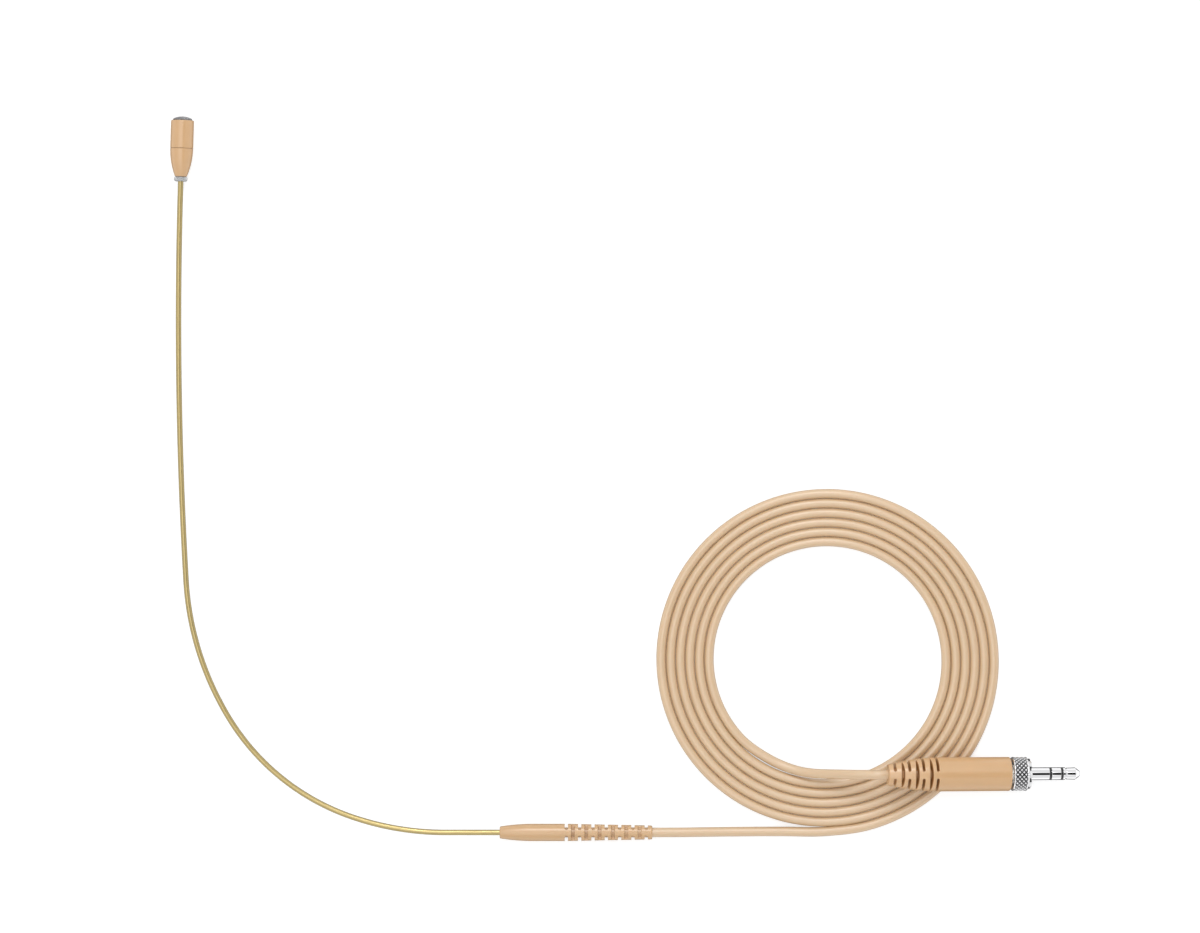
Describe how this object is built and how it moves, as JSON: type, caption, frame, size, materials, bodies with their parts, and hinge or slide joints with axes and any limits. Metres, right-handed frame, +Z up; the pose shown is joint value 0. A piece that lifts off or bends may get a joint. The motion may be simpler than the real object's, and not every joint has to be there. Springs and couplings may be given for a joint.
{
  "type": "headset microphone",
  "caption": "Headset microphone: small capsule with pull-off cap on a bendable boom, slim grip with bend relief, coiled cable and screw-locked 3.5 mm plug.",
  "frame": {"origin": "on the table, under the middle of the boom, capsule and grip, with the cable and plug left out", "axes": "+X along the grip towards the cable, +Y from the grip up the boom to the capsule, +Z up from the table"},
  "size_m": [0.2492, 0.1984, 0.0133],
  "materials": {
    "capsule_paint": "satin skin-tone paint",
    "steel_mesh": "fine woven mesh",
    "felt": "felt",
    "aluminium": "drawn",
    "film": "thin metallised film",
    "brass": "turned",
    "insulator_white": "moulded",
    "board": "glass fibre board",
    "black_plastic": "moulded",
    "black_rubber": "moulded",
    "wire": "enamelled and insulated wire",
    "dark_metal": "blackened",
    "clear_silicone": "clear silicone",
    "grip": "moulded skin-tone elastomer",
    "solder": "solder",
    "cable": "smooth extruded jacket, skin tone",
    "plug_cover": "moulded skin-tone elastomer",
    "nickel": "nickel plate",
    "knurled_nickel": "diamond knurl, nickel plate",
    "jack_chrome": "polished plate",
    "boom_gold": "satin gold finish"
  },
  "bodies": {
    "root": {"grip_sleeve": "grip", "grip_crimp": "brass", "solder_splices": "solder", "cable_crimp_ring": "brass", "cable_grip_end": "cable", "boom_tube_root": "boom_gold", "boom_wires_root": "wire", "cable_lead": "cable", "cable_coil": "cable", "cable_tail": "cable", "plug_cover": "plug_cover", "plug_neck": "nickel", "jack_sleeve": "jack_chrome", "jack_ring": "jack_chrome", "jack_tip": "jack_chrome", "jack_insulators": "black_plastic", "jack_lugs": "nickel", "plug_wires": "wire", "cable_clamp": "brass", "cable_plug_end": "cable"},
    "boom_lower": {"boom_tube_lower": "boom_gold", "boom_wires_lower": "wire"},
    "boom_bend": {"boom_tube_bend": "boom_gold", "boom_wires_bend": "wire"},
    "boom_middle": {"boom_tube_middle": "boom_gold", "boom_wires_middle": "wire"},
    "boom_upper": {"boom_tube_upper": "boom_gold", "boom_wires_upper": "wire"},
    "capsule": {"boom_tube_tip": "boom_gold", "boom_wires_tip": "wire", "capsule_housing": "capsule_paint", "capsule_can": "aluminium", "diaphragm": "film", "diaphragm_spacer": "film", "backplate": "brass", "backplate_holder": "insulator_white", "capsule_board": "board", "impedance_converter": "black_plastic", "capsule_boot": "black_rubber", "capsule_leads": "wire", "boom_ferrule": "dark_metal", "drip_ring": "clear_silicone"},
    "cap": {"cap_shell": "capsule_paint", "cap_grille": "steel_mesh", "cap_felt": "felt"},
    "lock_ring": {"lock_ring": "knurled_nickel"}
  },
  "joints": [
    {"name": "boom_root_bend", "type": "hinge", "parent": "root", "child": "boom_lower", "pos_m": [0.0092, -0.09687, 0.00235], "axis": [0, -0.0041, 1], "range_deg": [-25, 30]},
    {"name": "boom_lift", "type": "hinge", "parent": "boom_lower", "child": "boom_bend", "pos_m": [-0.01632, -0.09259, 0.00237], "axis": [0.3256, 0.9455, 0.0039], "range_deg": [0, 30]},
    {"name": "boom_mid_bend", "type": "hinge", "parent": "boom_bend", "child": "boom_middle", "pos_m": [-0.04994, -0.06557, 0.00248], "axis": [0, -0.0041, 1], "range_deg": [-30, 30]},
    {"name": "boom_upper_lift", "type": "hinge", "parent": "boom_middle", "child": "boom_upper", "pos_m": [-0.06174, -0.02777, 0.00264], "axis": [0.9983, 0.0576, 0.0002], "range_deg": [0, 30]},
    {"name": "capsule_aim", "type": "hinge", "parent": "boom_upper", "child": "capsule", "pos_m": [-0.06361, 0.06319, 0.00301], "axis": [0, -0.0041, 1], "range_deg": [-30, 30]},
    {"name": "cap_pull", "type": "slide", "parent": "capsule", "child": "cap", "axis": [0.0314, 0.9995, 0.0041], "range_m": [0, 0.01]},
    {"name": "lock_ring_turn", "type": "hinge", "parent": "root", "child": "lock_ring", "pos_m": [0.16621, -0.0807, 0.00491], "axis": [0.9891, 0, -0.1472], "continuous": true}
  ]
}
